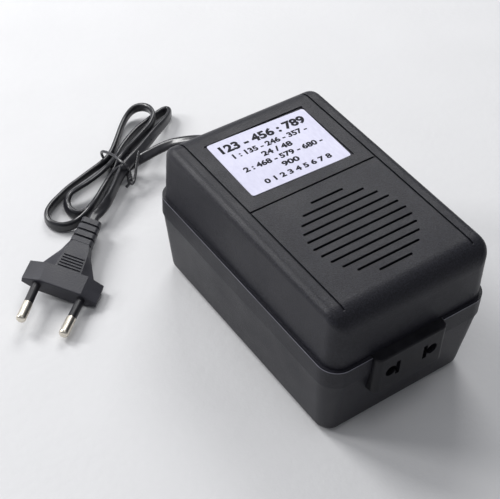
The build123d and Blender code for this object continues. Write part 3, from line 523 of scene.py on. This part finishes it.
def case_plastic(name, highlight_share=0.0):
    """The plastic of the two shells, with a painted highlight just under the ledge at the share
    given.
    """
    material, tree, shader, place = start_finish(name, 0.45, Specular_IOR_Level=0.28)
    cloud = noise(tree, place, 60, detail=4)
    spark = noise(tree, place, 1900, detail=3, rough=0.6)
    pits = noise(tree, place, 5200, detail=2)
    grain = ramp(tree, spark, [(0.34, plastic_dark), (0.68, plastic_light)])
    height = tree.nodes.new("ShaderNodeSeparateXYZ")
    tree.links.new(place, height.inputs["Vector"])
    # the band just under the ledge is painted paler as a highlight, made patchy by a broad noise
    under = figure(tree, "SUBTRACT", ledge_height, height.outputs["Z"])
    highlight_band = figure(tree, "MULTIPLY", figure(tree, "GREATER_THAN", under, highlight_start),
                     figure(tree, "LESS_THAN", under, highlight_depth))
    highlight_noise = noise(tree, place, 120, detail=3)
    highlight_amount = spread(tree, highlight_noise, highlight_patchiness * highlight_share, highlight_share)
    highlight_mix = tree.nodes.new("ShaderNodeMix")
    highlight_mix.data_type = "RGBA"
    tree.links.new(figure(tree, "MULTIPLY", highlight_band, highlight_amount), highlight_mix.inputs["Factor"])
    tree.links.new(grain, highlight_mix.inputs["A"])
    highlight_mix.inputs["B"].default_value = painted_highlight_colour
    tree.links.new(highlight_mix.outputs["Result"], shader.inputs["Base Color"])
    tree.links.new(spread(tree, cloud, 0.36, 0.46), shader.inputs["Roughness"])
    relief(tree, shader, [(spark, grain_depth), (pits, pit_depth)])
    return material


upper_plastic = case_plastic("upper_plastic")
# only the lower shell carries the painted highlight under its ledge
lower_plastic = case_plastic("lower_plastic", highlight_share=0.75)
print("case finishes:", upper_plastic.name, "and", lower_plastic.name)

# %% [markdown]
# ## The other finishes
#
# Each carried-over solid gets the finish of its real material. Metals are fully metallic with
# a fine turned or rolled grain, and the mouldings are grained like the case but smoother. Each
# could have a tree of its own, but most of them differ only in colour, gloss and grain, so
# two functions make nearly all of them.

# %% Finishes of the mouldings and feet
plug_moulding = grained("plug_moulding", (0.026, 0.026, 0.033), (0.04, 0.04, 0.05),
                        roughness=(0.36, 0.48), grain=1500, depth=0.00008, Specular_IOR_Level=0.45)
outlet_moulding = grained("outlet_moulding", (0.007, 0.007, 0.009), (0.014, 0.014, 0.018),
                          roughness=(0.34, 0.46), grain=2400, depth=0.00006,
                          Specular_IOR_Level=0.2)
foot_rubber = grained("foot_rubber", (0.014, 0.014, 0.014), (0.03, 0.03, 0.03),
                      roughness=(0.75, 0.9), grain=1600, depth=0.0001)
sleeve_plastic = grained("sleeve_plastic", (0.01, 0.01, 0.013), (0.02, 0.02, 0.024),
                         roughness=(0.3, 0.42), grain=1800, depth=0.00004)
print("mouldings are ready")

# %% Finishes of the metals


def drawn_metal(name, dark, light, roughness, stretch, depth=0.00001):
    """Metal with fine lines along the direction that it was drawn or rolled in."""
    material, tree, shader, place = start_finish(name, sum(roughness) / 2, Metallic=1.0)
    lines = noise(tree, place, 900, detail=3, stretch=stretch)
    stain = noise(tree, place, 180, detail=4)
    tint(tree, shader, stain, dark, light)
    tree.links.new(spread(tree, lines, *roughness), shader.inputs["Roughness"])
    relief(tree, shader, [(lines, depth)])
    return material


pin_nickel = drawn_metal("pin_nickel", (0.66, 0.61, 0.52), (0.76, 0.72, 0.64),
                         roughness=(0.27, 0.32), stretch=(0.3, 0.3, 1.0), depth=0.0000008)
screw_steel = drawn_metal("screw_steel", (0.32, 0.33, 0.34), (0.5, 0.5, 0.52),
                          roughness=(0.25, 0.45), stretch=(1.0, 1.0, 0.3))
core_steel = drawn_metal("core_steel", (0.12, 0.12, 0.13), (0.26, 0.26, 0.28),
                         roughness=(0.45, 0.65), stretch=(0.02, 3.0, 0.02), depth=0.0001)
strap_steel = drawn_metal("strap_steel", (0.42, 0.43, 0.44), (0.62, 0.63, 0.65),
                          roughness=(0.25, 0.4), stretch=(0.1, 1.0, 1.0))
contact_brass = drawn_metal("contact_brass", (0.55, 0.36, 0.12), (0.75, 0.55, 0.22),
                            roughness=(0.2, 0.38), stretch=(1.0, 0.2, 1.0))
print("metals are ready")

# %% Finishes of the parts inside
winding_scale = 500  # gives bands of about 0.6 mm, one for each turn of wire
# the dark bands between the turns are painted shade in the grooves between the wires
groove_shade_colour, copper_colour = (0.09, 0.02, 0.006), (0.5, 0.17, 0.05)
copper_wire, tree, shader, place = start_finish("copper_wire", 0.3, Coat_Weight=0.6)
turns = tree.nodes.new("ShaderNodeTexWave")
turns.bands_direction = "Z"
turns.inputs["Scale"].default_value = winding_scale
turns.inputs["Distortion"].default_value = 0.3
tree.links.new(place, turns.inputs["Vector"])
copper_bands = ramp(tree, turns.outputs["Fac"], [(0.1, groove_shade_colour), (0.9, copper_colour)])
tree.links.new(copper_bands, shader.inputs["Base Color"])
relief(tree, shader, [(turns.outputs["Fac"], 0.0003)])
bobbin_nylon = grained("bobbin_nylon", (0.55, 0.55, 0.5), (0.68, 0.68, 0.63),
                       roughness=(0.4, 0.55), grain=1500, depth=0.00005, Subsurface_Weight=0.1)
tape_yellow = grained("tape_yellow", (0.55, 0.42, 0.05), (0.72, 0.58, 0.12),
                      roughness=(0.2, 0.35), grain=700, depth=0.0001)
cutoff_case = grained("cutoff_case", (0.03, 0.03, 0.035), (0.08, 0.08, 0.09),
                      roughness=(0.3, 0.5), grain=1200, depth=0.00005)
wire_pvc = grained("wire_pvc", (0.3, 0.02, 0.02), (0.42, 0.035, 0.03),
                   roughness=(0.35, 0.5), grain=1500, depth=0.00004)
inner_pvc = grained("inner_pvc", (0.015, 0.015, 0.018), (0.03, 0.03, 0.034),
                    roughness=(0.35, 0.5), grain=1500, depth=0.00004)
cap_nylon = grained("cap_nylon", (0.6, 0.6, 0.55), (0.75, 0.74, 0.7),
                    roughness=(0.35, 0.5), grain=1500, depth=0.00005)
print("inner finishes are ready")

# %% Give each carried-over solid its finish
finishes = {
    upper_plastic: ["upper_shell"],
    lower_plastic: ["lower_shell"],
    outlet_moulding: ["outlet_block", "cord_clamp"],
    contact_brass: ["outlet_contact_left", "outlet_contact_right"],
    screw_steel: ["case_screws", "bracket_screws", "clamp_screws"],
    foot_rubber: ["rubber_feet"],
    core_steel: ["core_e_stack", "core_i_stack"],
    strap_steel: ["core_bracket"],
    bobbin_nylon: ["bobbin"],
    copper_wire: ["inner_winding", "outer_winding"],
    tape_yellow: ["interlayer_tape", "outer_tape"],
    cutoff_case: ["thermal_cutoff"],
    plug_moulding: ["cord_bushing", "plug_body"],
    inner_pvc: ["cord_inside"],
    cap_nylon: ["splice_caps"],
    wire_pvc: ["supply_lead_left", "supply_lead_right", "outlet_lead_left", "outlet_lead_right"],
    pin_nickel: ["plug_pin_left", "plug_pin_right"],
    sleeve_plastic: ["pin_sleeve_left", "pin_sleeve_right"],
}
for finish, names in finishes.items():
    for name in names:
        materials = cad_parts[name].data.materials
        if not materials:
            materials.append(finish)
        for i in range(len(materials)):
            materials[i] = finish
print("finishes on", sum(len(names) for names in finishes.values()), "solids")

# %% [markdown]
# ## The rating label
#
# A white paper label, a little skew, lies in a shallow recess of the top, with rows of dark
# print on it. Here the rows hold plain numbers. They could be drawn in the paper's material,
# but that would need an image. So text objects are turned into one thin mesh of ink that sits
# on the paper.

# %% Paper of the label
paper_dark, paper_light = (0.62, 0.615, 0.77), (0.69, 0.685, 0.84)
label_paper, tree, shader, place = start_finish("label_paper", 0.5, Specular_IOR_Level=0.4)
fibre = noise(tree, place, 900, detail=5, stretch=(1.0, 0.4, 1.0))
gloss = noise(tree, place, 80, detail=3)
tint(tree, shader, fibre, paper_dark, paper_light)
tree.links.new(spread(tree, gloss, 0.4, 0.55), shader.inputs["Roughness"])
relief(tree, shader, [(fibre, 0.00002), (gloss, 0.0001)])
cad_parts["rating_label"].data.materials.clear()
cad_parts["rating_label"].data.materials.append(label_paper)
label_low, label_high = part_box("rating_label")
label_middle = (Vector(label_low) + Vector(label_high)) / 2
print("label:", [round((b - a) / MM, 2) for a, b in zip(label_low, label_high)])

# %% Rows of the label
label_tilt = math.radians(-1.7)
ink_height = 0.03 * MM
letter_size = 1.4  # the size that letters are drawn at, in heights of their row
boldness = 0.06  # how far each letter is thickened, in heights of its row
rows = [  # text, width, height, and place across and along from the label's middle, in mm
    ("123 - 456 : 789", 38.6, 4.6, 0.0, 11.0), ("1 : 135 - 246 - 357 -", 33.5, 2.9, 0.0, 5.8),
    ("24 / 48", 13.5, 2.8, 0.2, 1.5), ("2 : 468 - 579 - 680 -", 35.5, 2.9, 0.3, -2.8),
    ("900", 7.6, 2.8, 0.6, -7.1), ("0 1 2 3 4 5 6 7 8", 30.0, 2.7, 0.8, -11.9),
]


def printed_row(text, width, height, across, along):
    """One line of ink as a mesh of this width and height, on the label's own plane."""
    words = bpy.data.curves.new("row", "FONT")
    words.body = text
    words.size = letter_size * height * MM
    words.align_x = "CENTER"
    words.align_y = "CENTER"
    words.offset = boldness * height * MM
    words.extrude = ink_height / 2
    words.resolution_u = 4
    holder = bpy.data.objects.new("row", words)
    bpy.context.scene.collection.objects.link(holder)
    mesh = bpy.data.meshes.new_from_object(holder)
    bpy.data.objects.remove(holder)
    xs = [vertex.co.x for vertex in mesh.vertices]
    ys = [vertex.co.y for vertex in mesh.vertices]
    middle = Vector(((min(xs) + max(xs)) / 2, (min(ys) + max(ys)) / 2, 0))
    to_middle = Matrix.Translation(-middle)
    to_size = Matrix.Diagonal((width * MM / (max(xs) - min(xs)),
                               height * MM / (max(ys) - min(ys)), 1, 1))
    to_place = Matrix.Translation((across * MM, along * MM, 0))
    mesh.transform(to_place @ to_size @ to_middle)
    return mesh


print("rows of ink:", len(rows))

# %% Ink of the label
ink_shape = bmesh.new()
for row in rows:
    ink_shape.from_mesh(printed_row(*row))
ink_mesh = bpy.data.meshes.new("label_ink")
ink_shape.to_mesh(ink_mesh)
ink_shape.free()
ink_middle = (label_middle.x, label_middle.y, label_high[2] + ink_height / 2)
ink_mesh.transform(Matrix.Translation(ink_middle) @ Matrix.Rotation(label_tilt, 4, "Z"))
ink = bpy.data.objects.new("label_ink", ink_mesh)
bpy.context.scene.collection.objects.link(ink)
ink_black = grained("ink_black", (0.004, 0.004, 0.008), (0.012, 0.012, 0.02),
                    roughness=(0.5, 0.65), grain=2500, depth=0.00001, Specular_IOR_Level=0.15)
ink.data.materials.append(ink_black)
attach(ink, "root")
print("ink faces:", len(ink_mesh.polygons))

# %% [markdown]
# ## The twist tie
#
# A plastic-covered wire goes once round the waist of the hank, a little loose and askew, and is
# twisted together beside it. One tail rises over the waist and the other lies short. The
# ring and the tails are swept like the cord, with a round section. The twist could be two
# more lines picked by hand, but it follows a rule, two strands that circle one axis, so a
# second tree makes it from that axis alone.

# %% Geometry nodes for a twisted pair
wire_sides = 12
twisted_pair, given, result = new_tree("twisted_pair", {
    "Strand Radius": "NodeSocketFloat", "Turns": "NodeSocketFloat", "Steps": "NodeSocketInt"})
nodes, links = twisted_pair.nodes, twisted_pair.links
axis_line = nodes.new("GeometryNodeMeshToCurve")
links.new(given["Line"], axis_line.inputs["Mesh"])
axis = nodes.new("GeometryNodeResampleCurve")
links.new(axis_line.outputs["Curve"], axis.inputs["Curve"])
links.new(given["Steps"], axis.inputs["Count"])
tangent = nodes.new("GeometryNodeInputTangent").outputs["Tangent"]
normal = nodes.new("GeometryNodeInputNormal").outputs["Normal"]
along_share = nodes.new("GeometryNodeSplineParameter").outputs["Factor"]
turns_so_far = figure(twisted_pair, "MULTIPLY", along_share, given["Turns"])
angle = figure(twisted_pair, "MULTIPLY", turns_so_far, math.tau)
strands = nodes.new("GeometryNodeJoinGeometry")
for phase in (0.0, math.pi):
    turned = nodes.new("ShaderNodeVectorRotate")
    turned.rotation_type = "AXIS_ANGLE"
    links.new(normal, turned.inputs["Vector"])
    links.new(tangent, turned.inputs["Axis"])
    links.new(figure(twisted_pair, "ADD", angle, phase), turned.inputs["Angle"])
    away = nodes.new("ShaderNodeVectorMath")
    away.operation = "SCALE"
    links.new(turned.outputs["Vector"], away.inputs["Vector"])
    links.new(given["Strand Radius"], away.inputs["Scale"])
    strand = nodes.new("GeometryNodeSetPosition")
    links.new(axis.outputs["Curve"], strand.inputs["Geometry"])
    links.new(away.outputs["Vector"], strand.inputs["Offset"])
    links.new(strand.outputs["Geometry"], strands.inputs["Geometry"])
wire_circle = nodes.new("GeometryNodeCurvePrimitiveCircle")
wire_circle.inputs["Resolution"].default_value = wire_sides
links.new(given["Strand Radius"], wire_circle.inputs["Radius"])
end_tree(twisted_pair, given, result, strands.outputs["Geometry"], wire_circle.outputs["Curve"])
print("twisted_pair:", len(nodes), "nodes")

# %% Lines of the twist tie
tie_coat = grained("tie_coat", (0.02, 0.02, 0.024), (0.045, 0.045, 0.052),
                   roughness=(0.2, 0.32), grain=1500, depth=0.00004,
                   Coat_Weight=0.3, Coat_Roughness=0.15)
tie_radius = 0.64 * MM
knot_start = (-3.9, -7.6, 6.5)
knot_middle = (-6.2, -9.5, 6.2)
knot_end = (-8.3, -11.1, 5.4)
tie_lines = {
    "ring": [knot_start, (-5.7, -8.9, 9.5), (-6.6, -8.6, 11.9), (-5.8, -5.4, 12.6),
             (-3.2, -0.7, 11.8), (-1.1, 3.8, 10.2), (0.4, 8.2, 8.4), (1.0, 9.0, 5.8),
             (1.9, 8.4, 2.6), (0.8, 4.6, 0.6), (0.0, 0.8, 0.6), (-0.4, -4.3, 0.6),
             (-1.5, -7.3, 2.0), knot_start],
    "long_tail": [knot_end, (-9.5, -12.4, 5.0), (-7.5, -12.6, 5.4), (-4.5, -11.6, 7.0),
                  (-1.1, -10.2, 9.0), (1.8, -9.2, 11.0), (4.3, -8.6, 12.2)],
    "short_tail": [knot_end, (-9.2, -10.9, 4.4), (-10.1, -10.1, 3.2)],
}


def round_chain(name, points):
    """A smooth chain through the hank's own points, for a round section that needs no angle."""
    path = smooth_path(name, [hank_point(*point) for point in points])
    return path, [0.0] * len(path)


tie_chains = [round_chain("tie_" + name, points) for name, points in tie_lines.items()]
knot_chain = round_chain("knot_line", (knot_start, knot_middle, knot_end))
print("tie lines:", [round(arc_lengths(path)[-1] / MM, 1) for path, angles in tie_chains], "mm")

# %% Wire of the twist tie
tie = grow("wire_tie", chain_mesh("tie_chain", tie_chains), swept_section, {
    "Width": 2 * tie_radius, "Thickness": 2 * tie_radius, "Side Power": 1.0, "Face Power": 1.0,
    "Waist": 0.0, "Sides": wire_sides, "Finish": tie_coat})
knot = grow("tie_knot", chain_mesh("knot_chain", [knot_chain]), twisted_pair, {
    "Strand Radius": tie_radius, "Turns": 2.6, "Steps": 60, "Finish": tie_coat})
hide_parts("twist_tie")
for piece in (tie, knot):
    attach(piece, "root")
print("tie faces:", len(tie.data.polygons), "and", len(knot.data.polygons))

# %% [markdown]
# ## Floor and light
#
# The converter stands on a plain pale table. An image of a studio could light it, but no image
# is read here, and a lamp can be moved for one bright edge alone. A soft lamp behind and to
# the left draws the bright lines on the cord, and a smaller one, lower and further left, the
# line down the rounded left edge. A weak one overhead lights the lips that face up, and a
# broad one behind and to the right lays the sheen on the top. A pale sky does the rest, so
# that colours come out about as they are written.

# %% Floor
floor_reach = 3.0
floor_drop = 0.2 * MM  # keeps the floor just clear of the feet
floor_signs = ((-1, -1), (1, -1), (1, 1), (-1, 1))
floor_mesh = bpy.data.meshes.new("floor")
floor_mesh.from_pydata([(floor_reach * x, floor_reach * y, 0) for x, y in floor_signs],
                       [], [(0, 1, 2, 3)])
floor = bpy.data.objects.new("floor", floor_mesh)
floor.location.z = -floor_drop
bpy.context.scene.collection.objects.link(floor)
floor_paint = grained("floor_paint", (0.70, 0.70, 0.71), (0.73, 0.73, 0.74),
                      roughness=(0.6, 0.75), grain=300, depth=0.0001)
floor_mesh.materials.append(floor_paint)
print("floor is laid")

# %% Lamps and sky


def soft_lamp(name, spot, aim, size, power):
    """A square lamp at a spot, turned to its aim, with its side in metres and power in watts."""
    light = bpy.data.lights.new(name, "AREA")
    light.size = size
    light.energy = power
    lamp = bpy.data.objects.new(name, light)
    lamp.location = spot
    lamp.rotation_euler = (Vector(aim) - Vector(spot)).to_track_quat("-Z", "Y").to_euler()
    bpy.context.scene.collection.objects.link(lamp)


soft_lamp("back_lamp", (-0.4, 1.0, 0.9), aim=(0, 0.03, 0.03), size=0.45, power=11)
soft_lamp("left_lamp", (-0.9, 0.78, 0.62), aim=(0, 0.03, 0.04), size=0.3, power=6)
soft_lamp("top_lamp", (-0.05, -0.2, 1.3), aim=(0, 0, 0.04), size=0.5, power=1.5)
soft_lamp("sheen_lamp", (0.62, 0.86, 1.0), aim=(0, 0, 0.06), size=0.6, power=7)
world = bpy.data.worlds.new("sky")
bpy.context.scene.world = world
world.use_nodes = True
sky = world.node_tree.nodes["Background"]
sky.inputs["Color"].default_value = (0.93, 0.95, 1.0, 1.0)
sky.inputs["Strength"].default_value = 0.3
bpy.context.scene.view_settings.view_transform = "Standard"
print("lamps:", len(bpy.data.lights))

# %% [markdown]
# ## Last update
#
# The view layer is brought up to date once more.

bpy.context.view_layer.update()
